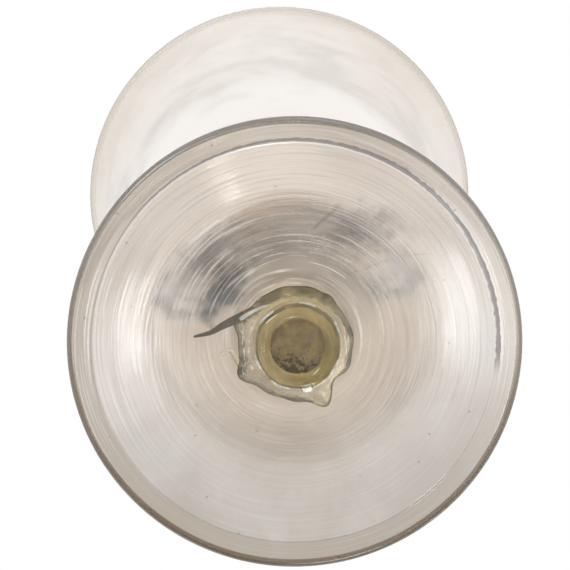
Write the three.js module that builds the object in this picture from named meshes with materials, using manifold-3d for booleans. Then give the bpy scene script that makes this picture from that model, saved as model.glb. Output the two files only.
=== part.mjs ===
// A winged goblet of hot-worked glass, in millimetres with +Z up.
// It stands on z = 0 with its axis on Z, and its wings reach out along -X and +X.
// Every piece is a gather of glass of its own, set hot on the one below it.

import * as THREE from 'three';
import { mergeVertices } from 'three/addons/utils/BufferGeometryUtils.js';
import Module from 'manifold-3d';

const wasm = await Module();
wasm.setup();

// Foot: a blown disc with its edge folded under
const footRadius = 44;
const footHeight = 15;
const footNeckRadius = 7.5;
const footWall = 1.9;
const foldWidth = 5;
const foldThickness = 3.4;
const restWidth = 1.4;
const lipWidth = 0.3;
const lipHeight = 0.45;
const foldBevel = 1.2;
const foldBevelHeight = 0.11;
const kickHeight = 7.6;
const kickRadius = 13;
const kickCurve = 1.4;
const thickeningRadius = 28.2;
const coneCurve = 1.03;

// Pontil scar: the wad of other glass that the iron left on the underside
const scarRadius = 10.9;
const scarThickness = 0.7;
const scarRingRadius = 8.3;
const scarRingHeight = 2.1;
const scarWellRadius = 5.4;
const scarRootWidth = 1.4;
const scarRingBevel = 0.4;
const scarRagged = 0.15;
const scarWaves = 7;
const scarOffset = new THREE.Vector2(0.8, 1.6);
const scarLobes = [
  { angle: 150, reach: 2.8, width: 10 },
  { angle: 190, reach: 3.9, width: 5 },
  { angle: 204, reach: 2.1, width: 9 },
  { angle: 290, reach: 2.6, width: 7 },
  { angle: 312, reach: -1.2, width: 16 },
  { angle: 90, reach: 0.7, width: 30 },
];

// Collars and knops of the stem
const collarHeight = 3;
const collarEdge = 0.7;
const collarBulge = 0.55;
const collarWaist = 0.22;
const footCollarRadius = 9.5;
const knopCollarRadius = 8.5;
const loopCollarRadius = 8.5;
const bowlCollarRadius = 9;
const seatRadius = 5.5;
const lowerKnopRadius = 10;
const lowerKnopHeight = 15;
const knopRibs = 12;
const knopRibDepth = 0.8;
const upperKnopRadius = 6.6;
const upperKnopHeight = 9;

// Figure of eight: one twisted rod, crossed at its waist
const loopHeight = 77;
const rodRadius = 3.1;
const rodRibs = 5;
const rodRibDepth = 0.4;
const rodTurns = 5;
const lowerLobeReach = 9;
const upperLobeReach = 10.4;
const crossingOffset = 2.5;
const padRadius = 5;
const padHeight = 7;
const padDome = 4;

// Wings: a scroll on each side with a pincered crest
const scrollRadius = 1.8;
const scrollTipRadius = 1.2;
const bowRadius = 30;
const bowAngle = 33;
const voluteRadius = 5.4;
const voluteTipRadius = 1.4;
const voluteAngle = 360;
const wingSink = 1.2;
const crestTeeth = 9;
const crestAngle = 27;
const toothLength = 4.2;
const endToothLength = 1.7;
const crestWeb = 1.5;
const crestThickness = 2.2;
const crestEdge = 0.6;

// Bowl: a round funnel with a slightly flared rim
const bowlHeight = 102;
const bowlRadius = 44;
const bowlWall = 1.5;
const bowlBottom = 4.5;
const bowlSeatWidth = 2.5;
const bowlSeatRise = 0.4;
const rimThickness = 1.9;

// Clearance between pieces that are pressed into each other
const seatGap = 0.3;

// Corners of the round pieces
const discSides = 56;
const stemSides = 24;

// Heights of the stack, from the foot up
const footCollarTop = footHeight + collarHeight;
const lowerKnopTop = footCollarTop + lowerKnopHeight;
const knopCollarTop = lowerKnopTop + collarHeight;
const loopTop = knopCollarTop + loopHeight;
const loopCollarTop = loopTop + collarHeight;
const upperKnopTop = loopCollarTop + upperKnopHeight;
const bowlBase = upperKnopTop + collarHeight;

const colourless = () => new THREE.MeshStandardMaterial({ color: 0xddd5cc, roughness: 0.08, metalness: 0 });
const wingGlass = () => new THREE.MeshStandardMaterial({ color: 0xb9c0c6, roughness: 0.1, metalness: 0 });
const scarGlass = () => new THREE.MeshStandardMaterial({ color: 0xa79a5e, roughness: 0.25, metalness: 0 });

// A geometry with its shared corners merged and its collapsed triangles left out.
function closedMesh(geometry) {
  const bare = geometry.clone();
  bare.deleteAttribute('normal');
  bare.deleteAttribute('uv');
  const merged = mergeVertices(bare, 1e-4);
  const kept = [];
  for (let i = 0; i < merged.index.count; i += 3) {
    const [a, b, c] = [0, 1, 2].map((k) => merged.index.getX(i + k));
    if (a !== b && b !== c && c !== a) kept.push(a, b, c);
  }
  merged.setIndex(kept);
  return merged;
}

function toSolid(geometry) {
  const mesh = closedMesh(geometry);
  const vertProperties = new Float32Array(mesh.attributes.position.array);
  const triVerts = new Uint32Array(mesh.index.array);
  return new wasm.Manifold(new wasm.Mesh({ numProp: 3, vertProperties, triVerts }));
}

function toGeometry(solid) {
  const mesh = solid.getMesh();
  const geometry = new THREE.BufferGeometry();
  geometry.setAttribute('position', new THREE.BufferAttribute(mesh.vertProperties, 3));
  geometry.setIndex(new THREE.BufferAttribute(mesh.triVerts, 1));
  return geometry;
}

// A profile of [radius, height] pairs, revolved about Z.
function revolve(profile, segments) {
  const points = profile.map(([radius, height]) => new THREE.Vector2(radius, height));
  const geometry = new THREE.LatheGeometry(points, segments);
  geometry.rotateX(Math.PI / 2);
  return closedMesh(geometry);
}

// Rings of points joined one to the next, with a cap at each end.
function loft(rings) {
  const count = rings[0].length;
  const positions = rings.flat().flatMap((point) => point.toArray());
  const index = [];
  for (let r = 0; r + 1 < rings.length; r += 1) {
    for (let k = 0; k < count; k += 1) {
      const next = (k + 1) % count;
      const [a, b] = [r * count + k, r * count + next];
      index.push(a, b, b + count, a, b + count, a + count);
    }
  }
  for (const [ring, start] of [[rings[0], 0], [rings.at(-1), (rings.length - 1) * count]]) {
    const centre = new THREE.Vector3();
    ring.forEach((point) => centre.addScaledVector(point, 1 / count));
    const hub = positions.length / 3;
    positions.push(...centre.toArray());
    for (let k = 0; k < count; k += 1) {
      const next = (k + 1) % count;
      if (start === 0) index.push(hub, start + next, start + k);
      else index.push(hub, start + k, start + next);
    }
  }
  const geometry = new THREE.BufferGeometry();
  geometry.setAttribute('position', new THREE.Float32BufferAttribute(positions, 3));
  geometry.setIndex(index);
  return geometry;
}

// A rod along points that lie near the XZ plane. radiusAt(share, angle) gives its section.
function rod(path, sides, radiusAt) {
  const across = new THREE.Vector3(0, 1, 0);
  const last = path.length - 1;
  const rings = path.map((centre, i) => {
    const ahead = path[Math.min(i + 1, last)];
    const behind = path[Math.max(i - 1, 0)];
    const along = ahead.clone().sub(behind).normalize();
    const out = new THREE.Vector3().crossVectors(across, along).normalize();
    const side = new THREE.Vector3().crossVectors(along, out);
    return Array.from({ length: sides }, (_, k) => {
      const angle = (2 * Math.PI * k) / sides;
      const radius = radiusAt(i / last, angle);
      return centre.clone()
        .addScaledVector(out, radius * Math.cos(angle))
        .addScaledVector(side, radius * Math.sin(angle));
    });
  });
  return loft(rings);
}

// Foot

const foldInside = footRadius - foldWidth;

// The underside, from the kick in the middle down to the inner edge of the fold.
function underAt(radius) {
  const share = Math.min((foldInside - radius) / (foldInside - kickRadius), 1);
  const lowest = foldThickness - footWall;
  return lowest + (kickHeight - lowest) * share ** kickCurve;
}

function footGeometry() {
  const slopeSteps = 5;
  const profile = [[0, kickHeight], [kickRadius, kickHeight]];
  for (let i = 1; i < slopeSteps; i += 1) {
    const radius = kickRadius + ((foldInside - kickRadius) * i) / slopeSteps;
    profile.push([radius, underAt(radius)]);
  }
  profile.push([foldInside, underAt(foldInside)]);
  // The fold: its inner lip, the ring that it stands on, and its rounded outer edge
  profile.push([foldInside + lipWidth, lipHeight]);
  profile.push([foldInside + foldBevel, foldBevelHeight]);
  profile.push([footRadius - foldThickness / 2 - restWidth, 0]);
  const edgeSteps = 6;
  for (let i = 0; i <= edgeSteps; i += 1) {
    const turn = (Math.PI * i) / edgeSteps - Math.PI / 2;
    const half = foldThickness / 2;
    profile.push([footRadius - half + half * Math.cos(turn), half + half * Math.sin(turn)]);
  }
  // The upper side rises slowly to the thickening, then faster to the neck
  const thickeningHeight = underAt(thickeningRadius) + footWall;
  profile.push([foldInside, underAt(foldInside) + footWall]);
  profile.push([thickeningRadius, thickeningHeight]);
  const neckSteps = 4;
  for (let i = 1; i <= neckSteps; i += 1) {
    const share = i / neckSteps;
    const radius = thickeningRadius + (footNeckRadius - thickeningRadius) * share;
    profile.push([radius, thickeningHeight + (footHeight - thickeningHeight) * share ** coneCurve]);
  }
  profile.push([0, footHeight]);
  return revolve(profile, discSides);
}

// Pontil scar: a ragged wad with a raised ring round the sunken disc

function scarGeometry() {
  const sides = 52;
  const outline = (angle) => {
    let radius = scarRadius + scarRagged * Math.sin(scarWaves * angle);
    for (const lobe of scarLobes) {
      const away = Math.abs(THREE.MathUtils.radToDeg(angle) - lobe.angle);
      radius += lobe.reach * Math.exp(-((Math.min(away, 360 - away) / lobe.width) ** 2));
    }
    return radius;
  };
  // Beyond the kick the lobes hang just under the slope
  const ring = (radiusAt, depth) => Array.from({ length: sides }, (_, k) => {
    const angle = (2 * Math.PI * k) / sides;
    const radius = radiusAt(angle);
    const x = scarOffset.x + radius * Math.cos(angle);
    const y = scarOffset.y - radius * Math.sin(angle);
    const away = Math.hypot(x, y);
    const top = away > kickRadius ? underAt(away) - seatGap : kickHeight;
    return new THREE.Vector3(x, y, top - depth);
  });
  return loft([
    ring(() => scarRingRadius + scarRootWidth, 0),
    ring(outline, 0),
    ring((angle) => outline(angle) * 0.99, scarThickness * 0.6),
    ring((angle) => outline(angle) * 0.93, scarThickness),
    ring(() => scarRingRadius + scarRingBevel, scarThickness),
    ring(() => scarRingRadius - scarRingBevel, scarRingHeight * 0.9),
    ring(() => (scarRingRadius + scarWellRadius) / 2, scarRingHeight),
    ring(() => scarWellRadius + scarRingBevel, scarRingHeight * 0.85),
    ring(() => scarWellRadius - scarRingBevel, scarThickness * 0.8),
  ]);
}

// Collars and knops

function collarGeometry(base, radius) {
  const bulge = (radius - seatRadius) * collarBulge;
  return revolve([
    [0, base],
    [seatRadius, base],
    [seatRadius + bulge, base + collarHeight * collarWaist],
    [radius - collarEdge * 0.4, base + collarHeight * 0.5 - collarEdge * 0.5],
    [radius, base + collarHeight * 0.5],
    [radius - collarEdge * 0.4, base + collarHeight * 0.5 + collarEdge * 0.5],
    [seatRadius + bulge, base + collarHeight * (1 - collarWaist)],
    [seatRadius, base + collarHeight],
    [0, base + collarHeight],
  ], stemSides);
}

function knopProfile(base, height, radius) {
  const steps = 10;
  const open = Math.asin(seatRadius / radius * 0.9);
  const profile = [[0, base]];
  for (let i = 0; i <= steps; i += 1) {
    const turn = open + ((Math.PI - 2 * open) * i) / steps;
    const rise = (1 - Math.cos(turn) / Math.cos(open)) / 2;
    profile.push([radius * Math.sin(turn), base + height * rise]);
  }
  profile.push([0, base + height]);
  return profile;
}

const upperKnop = knopProfile(loopCollarTop, upperKnopHeight, upperKnopRadius);

// The ribs of the lower knop fade out towards its two seats.
function ribbedKnopGeometry() {
  const geometry = revolve(knopProfile(footCollarTop, lowerKnopHeight, lowerKnopRadius), knopRibs * 4);
  const position = geometry.attributes.position;
  for (let i = 0; i < position.count; i += 1) {
    const [x, y, z] = [position.getX(i), position.getY(i), position.getZ(i)];
    const share = (z - footCollarTop) / lowerKnopHeight;
    const fade = Math.sin(Math.PI * THREE.MathUtils.clamp(share, 0, 1));
    const radius = Math.hypot(x, y);
    const rib = knopRibDepth * fade * (Math.cos(knopRibs * Math.atan2(y, x)) - 1) / 2;
    const scale = radius > 0 ? (radius + rib) / radius : 1;
    position.setXYZ(i, x * scale, y * scale, z);
  }
  return geometry;
}

// Figure of eight

const strandSteps = 48;
const lobeSpan = loopHeight - 2 * (rodRadius + seatGap);
const waist = knopCollarTop + loopHeight / 2;

// One strand climbs from the lower pad, round a lobe, through the waist and round the other lobe.
function strandPoint(theta) {
  const reach = THREE.MathUtils.lerp(lowerLobeReach, upperLobeReach, (1 - Math.cos(theta)) / 2);
  return new THREE.Vector3(
    reach * Math.sin(2 * theta),
    crossingOffset * Math.sin(theta),
    waist - (lobeSpan / 2) * Math.cos(theta),
  );
}

function strand(sides, steps, radiusAt) {
  const overrun = 0.04;
  const path = Array.from({ length: steps + 1 }, (_, i) => {
    const theta = -overrun + ((Math.PI + 2 * overrun) * i) / steps;
    return strandPoint(theta);
  });
  return toSolid(rod(path, sides, radiusAt));
}

function bothStrands(one) {
  return one.add(one.rotate([0, 0, 180]));
}

function padProfile(base, up) {
  const steps = 5;
  const profile = [[0, base], [padRadius, base]];
  for (let i = 0; i <= steps; i += 1) {
    const turn = (Math.PI / 2) * (i / steps);
    profile.push([padRadius * Math.cos(turn), base + up * (padHeight - padDome + padDome * Math.sin(turn))]);
  }
  return up > 0 ? profile : profile.reverse();
}

function loopGeometry() {
  const twist = (share) => 2 * Math.PI * rodTurns * share;
  const ribbed = (share, angle) => rodRadius - rodRibDepth / 2
    + (rodRibDepth / 2) * Math.cos(rodRibs * (angle + twist(share)));
  const rods = bothStrands(strand(rodRibs * 2, strandSteps, ribbed));
  const lowerPad = toSolid(revolve(padProfile(knopCollarTop, 1), stemSides));
  const upperPad = toSolid(revolve(padProfile(loopTop, -1), stemSides));
  return toGeometry(rods.add(lowerPad).add(upperPad));
}

// Wings, drawn flat in their own frame: u out from the stem, v up, the bow's middle at the origin.

// A walk whose stretches turn, in steps, while their radius goes from one value to the next.
function walk(stretches) {
  const path = [new THREE.Vector2(0, 0)];
  let heading = Math.PI / 2;
  for (const { turn, from, to, steps } of stretches) {
    const step = THREE.MathUtils.degToRad(turn) / steps;
    for (let i = 0; i < steps; i += 1) {
      const radius = from + ((to - from) * (i + 0.5)) / steps;
      heading += step / 2;
      const chord = 2 * radius * Math.sin(Math.abs(step) / 2);
      const stride = new THREE.Vector2(Math.cos(heading), Math.sin(heading)).multiplyScalar(chord);
      path.push(path.at(-1).clone().add(stride));
      heading += step / 2;
    }
  }
  return path;
}

const halfScroll = walk([
  { turn: bowAngle, from: bowRadius, to: bowRadius, steps: 5 },
  { turn: -voluteAngle, from: voluteRadius, to: voluteTipRadius, steps: 22 },
]);
const scrollPath = [
  ...halfScroll.slice(1).reverse().map((p) => new THREE.Vector2(p.x, -p.y)),
  ...halfScroll,
];

// The innermost points of the scroll, above and below its middle, rest on the two lobes.
const innermost = halfScroll.reduce((best, p) => (p.x < best.x ? p : best));
const wingTilt = Math.atan2(upperLobeReach - lowerLobeReach, 2 * innermost.y);
const lobeSide = (upperLobeReach + lowerLobeReach) / 2 + rodRadius;
const wingPlace = new THREE.Vector3(lobeSide + scrollRadius - wingSink - innermost.x, 0, waist);

function placeWing(geometry) {
  geometry.rotateY(wingTilt);
  geometry.translate(wingPlace.x, wingPlace.y, wingPlace.z);
  return geometry;
}

function scrollSolid() {
  const path = scrollPath.map((p) => new THREE.Vector3(p.x, 0, p.y));
  const taper = (share) => THREE.MathUtils.lerp(scrollRadius, scrollTipRadius, Math.abs(2 * share - 1) ** 3);
  return toSolid(placeWing(rod(path, 8, taper)));
}

// The crest stands on the outer side of the bow, in teeth that grow longer towards its middle.
function crestGeometry() {
  const outline = [];
  const centre = -bowRadius;
  const limit = THREE.MathUtils.degToRad(crestAngle);
  const perTooth = 6;
  const count = crestTeeth * perTooth;
  const seat = bowRadius + scrollRadius + seatGap;
  for (let i = 0; i <= count; i += 1) {
    const angle = -limit + (2 * limit * i) / count;
    const length = THREE.MathUtils.lerp(toothLength, endToothLength, (angle / limit) ** 2);
    const lobe = Math.abs(Math.sin((Math.PI * i) / perTooth));
    const reach = seat + crestWeb + length * lobe - crestEdge;
    outline.push(new THREE.Vector2(centre + reach * Math.cos(angle), reach * Math.sin(angle)));
  }
  const root = seat + crestEdge;
  const rootSteps = 10;
  for (let i = rootSteps; i >= 0; i -= 1) {
    const angle = -limit + (2 * limit * i) / rootSteps;
    outline.push(new THREE.Vector2(centre + root * Math.cos(angle), root * Math.sin(angle)));
  }
  const geometry = new THREE.ExtrudeGeometry(new THREE.Shape(outline), {
    depth: crestThickness - 2 * crestEdge,
    bevelThickness: crestEdge,
    bevelSize: crestEdge,
    bevelSegments: 1,
  });
  geometry.translate(0, 0, crestEdge - crestThickness / 2);
  geometry.rotateX(Math.PI / 2);
  return closedMesh(placeWing(geometry));
}

// Bowl

function bowlGeometry() {
  const base = bowlBase;
  const at = (radius, height) => new THREE.Vector2(bowlRadius * radius, base + bowlHeight * height);
  const outside = new THREE.SplineCurve([
    at(0.3, 0.015), at(0.52, 0.09), at(0.68, 0.22), at(0.77, 0.4), at(0.84, 0.62), at(0.92, 0.84), at(1, 1),
  ]);
  const steps = 10;
  const outer = [];
  const inner = [];
  for (let i = 0; i <= steps; i += 1) {
    const share = i / steps;
    const point = outside.getPointAt(share);
    const tangent = outside.getTangentAt(share);
    const wall = THREE.MathUtils.lerp(bowlBottom * 0.75, bowlWall, Math.min(1, share * 3));
    outer.push([point.x, point.y]);
    inner.push([point.x - tangent.y * wall, point.y + tangent.x * wall]);
  }
  const rim = outer.pop();
  inner.pop();
  const edge = [];
  const half = rimThickness / 2;
  const edgeSteps = 4;
  for (let i = 0; i <= edgeSteps; i += 1) {
    const turn = (Math.PI * i) / edgeSteps;
    edge.push([rim[0] - half + half * Math.cos(turn), rim[1] - half + half * Math.sin(turn)]);
  }
  return revolve([
    [0, base],
    [seatRadius, base],
    [seatRadius + bowlSeatWidth, base + bowlSeatRise],
    ...outer,
    ...edge,
    ...inner.reverse(),
    [0, base + bowlBottom],
  ], discSides);
}

// Assembly

const goblet = new THREE.Group();

function place(name, geometry, material) {
  const mesh = new THREE.Mesh(geometry, material);
  mesh.name = name;
  goblet.add(mesh);
  return mesh;
}

place('foot', footGeometry(), colourless());
place('pontil_scar', scarGeometry(), scarGlass());
place('foot_merese', collarGeometry(footHeight, footCollarRadius), colourless());
place('lower_knop', ribbedKnopGeometry(), colourless());
place('knop_merese', collarGeometry(lowerKnopTop, knopCollarRadius), colourless());
place('stem_loop', loopGeometry(), colourless());
place('loop_merese', collarGeometry(loopTop, loopCollarRadius), colourless());
place('upper_knop', revolve(upperKnop, stemSides), colourless());
place('bowl_merese', collarGeometry(upperKnopTop, bowlCollarRadius), colourless());
place('bowl', bowlGeometry(), colourless());

const clearRod = () => rodRadius + seatGap;
const seatForScroll = bothStrands(strand(12, strandSteps, clearRod));
const scroll = toGeometry(scrollSolid().subtract(seatForScroll));
const crest = crestGeometry();
for (const [side, turn] of [['right', 0], ['left', Math.PI]]) {
  place(`wing_scroll_${side}`, scroll, wingGlass()).rotation.z = turn;
  place(`wing_crest_${side}`, crest, wingGlass()).rotation.z = turn;
}

export default goblet;
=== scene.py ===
# %% [markdown]
# # A winged goblet, seen from under its foot
# The goblet is hot-worked glass: a folded foot, a stem with a ribbed knop and a twisted figure of eight,
# two scrolled wings, and a blown bowl. Each piece is a gather of its own, set hot on the one below it.
# The measured frame says where each piece sits and how big it is. This lesson gives each piece its real
# surface: soft joints, tool marks, the wear of long use, and the broken pontil scar.
#
# The frame is loaded first, because every size below is read from it. All lengths are metres.

# %% Load the frame
import math
import random

import bmesh
import bpy
from mathutils import Matrix, Vector, noise


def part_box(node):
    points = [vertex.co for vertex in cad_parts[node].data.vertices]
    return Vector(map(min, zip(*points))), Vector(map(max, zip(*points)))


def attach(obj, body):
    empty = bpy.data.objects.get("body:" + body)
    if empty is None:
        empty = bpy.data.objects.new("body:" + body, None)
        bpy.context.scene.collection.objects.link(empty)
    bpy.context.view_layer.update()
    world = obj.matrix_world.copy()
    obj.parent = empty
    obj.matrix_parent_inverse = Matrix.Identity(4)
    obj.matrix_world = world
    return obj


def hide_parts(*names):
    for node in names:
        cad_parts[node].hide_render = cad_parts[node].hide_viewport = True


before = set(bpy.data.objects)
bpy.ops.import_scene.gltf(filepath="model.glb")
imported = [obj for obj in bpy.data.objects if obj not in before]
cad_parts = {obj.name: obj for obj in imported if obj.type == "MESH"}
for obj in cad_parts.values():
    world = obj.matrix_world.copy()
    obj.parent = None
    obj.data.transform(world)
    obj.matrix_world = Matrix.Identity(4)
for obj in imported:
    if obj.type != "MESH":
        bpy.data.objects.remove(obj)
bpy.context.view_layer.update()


# %% [markdown]
# ## The camera
# The photograph looks straight up at the underside of the foot, nearly nine degrees off the goblet's axis
# and turned a little. The camera stands more than a metre below, with a long lens, so the foot almost hides
# the stem and the bowl shows as a pale disc behind it. Its place is worked out from the tilt and the
# distance, and not typed in as a position, so each number can be changed by itself.

# %% Camera
camera_distance = 1.093
camera_tilt = math.radians(8.7403)
camera_roll = math.radians(-5.92357)
aim_right = -0.00173397
aim_up = 0.0103895

forward = Vector((0, math.sin(camera_tilt), math.cos(camera_tilt)))
level_up = Vector((0, -math.cos(camera_tilt), math.sin(camera_tilt)))
level_right = Vector((1, 0, 0))
right = level_right * math.cos(camera_roll) + level_up * math.sin(camera_roll)
up = level_up * math.cos(camera_roll) - level_right * math.sin(camera_roll)
aim = (forward + right * aim_right + up * aim_up).normalized()
right = (right - aim * right.dot(aim)).normalized()
up = right.cross(aim)

camera_data = bpy.data.cameras.new("camera")
camera_data.lens = 358.07
camera_data.sensor_width = 36.0
camera_data.clip_start = 0.05
camera_data.clip_end = 20.0
camera = bpy.data.objects.new("camera", camera_data)
axes = Matrix((right, up, -aim)).transposed().to_4x4()
camera.matrix_world = Matrix.Translation(-forward * camera_distance) @ axes
bpy.context.scene.collection.objects.link(camera)
bpy.context.scene.camera = camera
print("camera at", [round(c, 3) for c in camera.location])


# %% [markdown]
# ## Node helpers
# Materials are written as small node trees, and a few helpers keep them short. One adds a node with its
# settings. The next ones stand for the Math, Vector Math and noise nodes that come up most. They need not
# be told which tree to work in, because a socket knows its own. The last ones open a node group with named
# sockets, close it, and place it in a material.

# %% Adding nodes
def add_node(tree, kind, inputs=None, **settings):
    """Adds a shader node. inputs maps a socket's name or number to a value or to another socket."""
    made = tree.nodes.new("ShaderNode" + kind)
    for name, value in settings.items():
        setattr(made, name, value)
    for name, value in (inputs or {}).items():
        if isinstance(value, bpy.types.NodeSocket):
            tree.links.new(value, made.inputs[name])
        else:
            made.inputs[name].default_value = value
    return made


def tree_of(*values):
    """The node tree of the first socket among the values."""
    return next(value.id_data for value in values if isinstance(value, bpy.types.NodeSocket))


def calc(operation, *values):
    """A Math node's result."""
    return add_node(tree_of(*values), "Math", dict(enumerate(values)), operation=operation).outputs[0]


def times(first, *others):
    """The product of all the values."""
    for other in others:
        first = calc("MULTIPLY", first, other)
    return first


def plus(first, *others):
    """The sum of all the values."""
    for other in others:
        first = calc("ADD", first, other)
    return first


def minus(first, second):
    return calc("SUBTRACT", first, second)


def vector_calc(operation, *values, output="Vector"):
    """A Vector Math node's result."""
    made = add_node(tree_of(*values), "VectorMath", dict(enumerate(values)), operation=operation)
    return made.outputs[output]


def dot(first, second):
    return vector_calc("DOT_PRODUCT", first, second, output="Value")


def length_of(vector):
    return vector_calc("LENGTH", vector, output="Value")


def scaled(vector, factor):
    return add_node(tree_of(vector), "VectorMath", {0: vector, "Scale": factor}, operation="SCALE").outputs[0]


def combined(x=0.0, y=0.0, z=0.0):
    return add_node(tree_of(x, y, z), "CombineXYZ", {0: x, 1: y, 2: z}).outputs[0]


print("node helpers ready")


# %% Places, noise and colours
def own_place(tree):
    """The point's place on its piece, in metres."""
    return add_node(tree, "TexCoord").outputs["Object"]


def flattened(place):
    """The place with its height left out, so that its length is the distance from the axis."""
    return vector_calc("MULTIPLY", place, (1, 1, 0))


def around_axis(place):
    """The direction from the goblet's axis to the point, and its distance from the axis."""
    flat = flattened(place)
    return vector_calc("NORMALIZE", flat), length_of(flat)


def clouds(place, scale, detail, **more):
    """Soft noise round 0.5. more names other sockets of the noise node."""
    inputs = {"Vector": place, "Scale": scale, "Detail": detail, **more}
    return add_node(tree_of(place), "TexNoise", inputs).outputs["Fac"]


def ramp(value, start, end, low=0.0, high=1.0):
    """value brought from the range start to end into the range low to high, with soft ends."""
    inputs = {"Value": value, "From Min": start, "From Max": end, "To Min": low, "To Max": high}
    return add_node(tree_of(value), "MapRange", inputs, interpolation_type="SMOOTHSTEP").outputs["Result"]


def blend_colours(share, first, second):
    """first where share is 0 and second where it is 1. Each is a socket or a plain (red, green, blue)."""
    first, second = ((*colour, 1) if isinstance(colour, tuple) else colour for colour in (first, second))
    return add_node(tree_of(share), "Mix", {0: share, 6: first, 7: second}, data_type="RGBA").outputs[2]


def paint_over(colour, *layers):
    """Lays each (mask, tone) over the colour, one after another."""
    for mask, tone in layers:
        colour = blend_colours(mask, colour, tone)
    return colour


def bumped(height, strength, distance):
    """A normal that follows the height."""
    inputs = {"Strength": strength, "Distance": distance, "Height": height}
    return add_node(tree_of(height), "Bump", inputs).outputs["Normal"]


print("place, noise and colour helpers ready")


# %% Node groups
def open_group(name, inputs, outputs=("Mask",)):
    """An empty group of float sockets, as (tree, input sockets, output node). "Normal" is a vector."""
    tree = bpy.data.node_groups.new(name, "ShaderNodeTree")
    for label, value in inputs.items():
        tree.interface.new_socket(label, in_out="INPUT", socket_type="NodeSocketFloat").default_value = value
    for label in outputs:
        kind = "NodeSocketVector" if label == "Normal" else "NodeSocketFloat"
        tree.interface.new_socket(label, in_out="OUTPUT", socket_type=kind)
    return tree, tree.nodes.new("NodeGroupInput").outputs, tree.nodes.new("NodeGroupOutput")


def close_group(tree, result, **outputs):
    """Feeds the group's outputs and hands the group back."""
    for label, value in outputs.items():
        tree.links.new(value, result.inputs[label])
    return tree


def use_group(tree, group, **values):
    """A group placed in a material with its own values, as its outputs. Start_X stands for Start X."""
    made = add_node(tree, "Group")
    made.node_tree = group
    for label, value in values.items():
        made.inputs[label.replace("_", " ")].default_value = value
    return made.outputs


print("group helpers ready")


# %% [markdown]
# ## Marks that turn with the glass
# A blown foot spins on the iron while it is shaped, and later it is worn by turning on the table. Both
# leave fine rings round the axis. They are much finer than a pixel, so a picture of them would blur away.
# Instead the normal is leaned a random way along the radius, which spreads light across the rings and
# keeps it sharp along them. That is what draws a bow tie of light on a turned disc.

# %% Turned marks
def make_turned_marks():
    tree, given, result = open_group("turned marks", {"Fine": 0.1, "Coarse": 0.05, "Patchiness": 0.5},
                                     ("Normal", "Streaks", "Scores", "Glints"))
    outwards, radius = around_axis(own_place(tree))
    # A point's radius is stretched along one axis, so that noise there makes arcs
    rings = combined(z=times(radius, 1000.0))
    spot = vector_calc("ADD", scaled(outwards, 0.9), rings)

    def arcs(scale, detail, shift=0.0):
        stretched = vector_calc("MULTIPLY_ADD", spot, (1.4, 1.4, scale), (shift, shift, 0))
        return minus(clouds(stretched, 1.0, detail), 0.5)

    fine = arcs(23.0, 2.0)
    coarse = arcs(3.6, 4.0)
    where = clouds(vector_calc("MULTIPLY", spot, (2.2, 2.2, 0.35)), 1.0, 2.0)
    patch = ramp(where, 0.42, 0.62)
    kept = minus(1.0, times(given["Patchiness"], minus(1.0, patch)))
    lean = plus(times(fine, given["Fine"], kept), times(coarse, given["Coarse"]))
    normal = add_node(tree, "NewGeometry").outputs["Normal"]
    leaned = vector_calc("ADD", normal, scaled(outwards, lean))
    return close_group(tree, result,
                       Normal=vector_calc("NORMALIZE", leaned),
                       Streaks=times(patch, plus(times(fine, 2.0), 0.5)),
                       # Scores are dark arcs of wear. Glints are painted highlights: lighter arcs laid into
                       # the colour
                       Scores=ramp(arcs(1.9, 4.0, 7.3), 0.02, 0.13),
                       Glints=times(ramp(arcs(2.7, 4.0, 31.0), 0.03, 0.13), kept))


turned_marks = make_turned_marks()
print("group:", turned_marks.name)


# %% [markdown]
# ## Film, pits, scratches and patches
# Old soda glass is never quite clean. A thin weathered film lies on it in clouds, small pits and trapped
# seeds show as dark specks, and stray scratches cross it. Each effect is a group, so that every glass can
# take as much of it as that piece has. The last two place a single curved line, which the foot uses for a
# scratch and for a bar of painted shade, and a single patch along the rings, which it uses for painted shade.

# %% Film, pits and stray scratches
def make_film():
    tree, given, result = open_group("weathered film", {"Size": 60.0, "Low": 0.4, "High": 0.7})
    mottle = clouds(own_place(tree), given["Size"], 5.0, Roughness=0.62, Distortion=0.4)
    return close_group(tree, result, Mask=ramp(mottle, given["Low"], given["High"]))


def make_pits():
    tree, given, result = open_group("pits and seeds", {"Size": 160.0, "Reach": 0.09, "Share": 0.1})
    cells = add_node(tree, "TexVoronoi", {"Vector": own_place(tree), "Scale": given["Size"]}).outputs
    speck = ramp(cells["Distance"], given["Reach"], 0.0)
    chance = add_node(tree, "SeparateXYZ", {0: cells["Color"]}).outputs[0]
    return close_group(tree, result, Mask=times(speck, calc("LESS_THAN", chance, given["Share"])))


def make_scratches():
    tree, given, result = open_group("stray scratches", {"Size": 30.0, "Width": 0.012, "Share": 0.45})
    place = own_place(tree)
    bent = add_node(tree, "TexNoise", {"Vector": place, "Scale": 12.0, "Detail": 1.0}).outputs["Color"]
    moved = vector_calc("ADD", place, vector_calc("MULTIPLY", bent, (0.03, 0.03, 0.03)))
    borders = add_node(tree, "TexVoronoi", {"Vector": moved, "Scale": given["Size"]},
                       feature="DISTANCE_TO_EDGE").outputs["Distance"]
    line = ramp(borders, given["Width"], 0.0)
    where = ramp(clouds(place, 55.0, 2.0), 1.0, given["Share"])
    return close_group(tree, result, Mask=times(line, where))


weathered_film = make_film()
pits_and_seeds = make_pits()
stray_scratches = make_scratches()
print("groups:", [g.name for g in bpy.data.node_groups])
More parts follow.
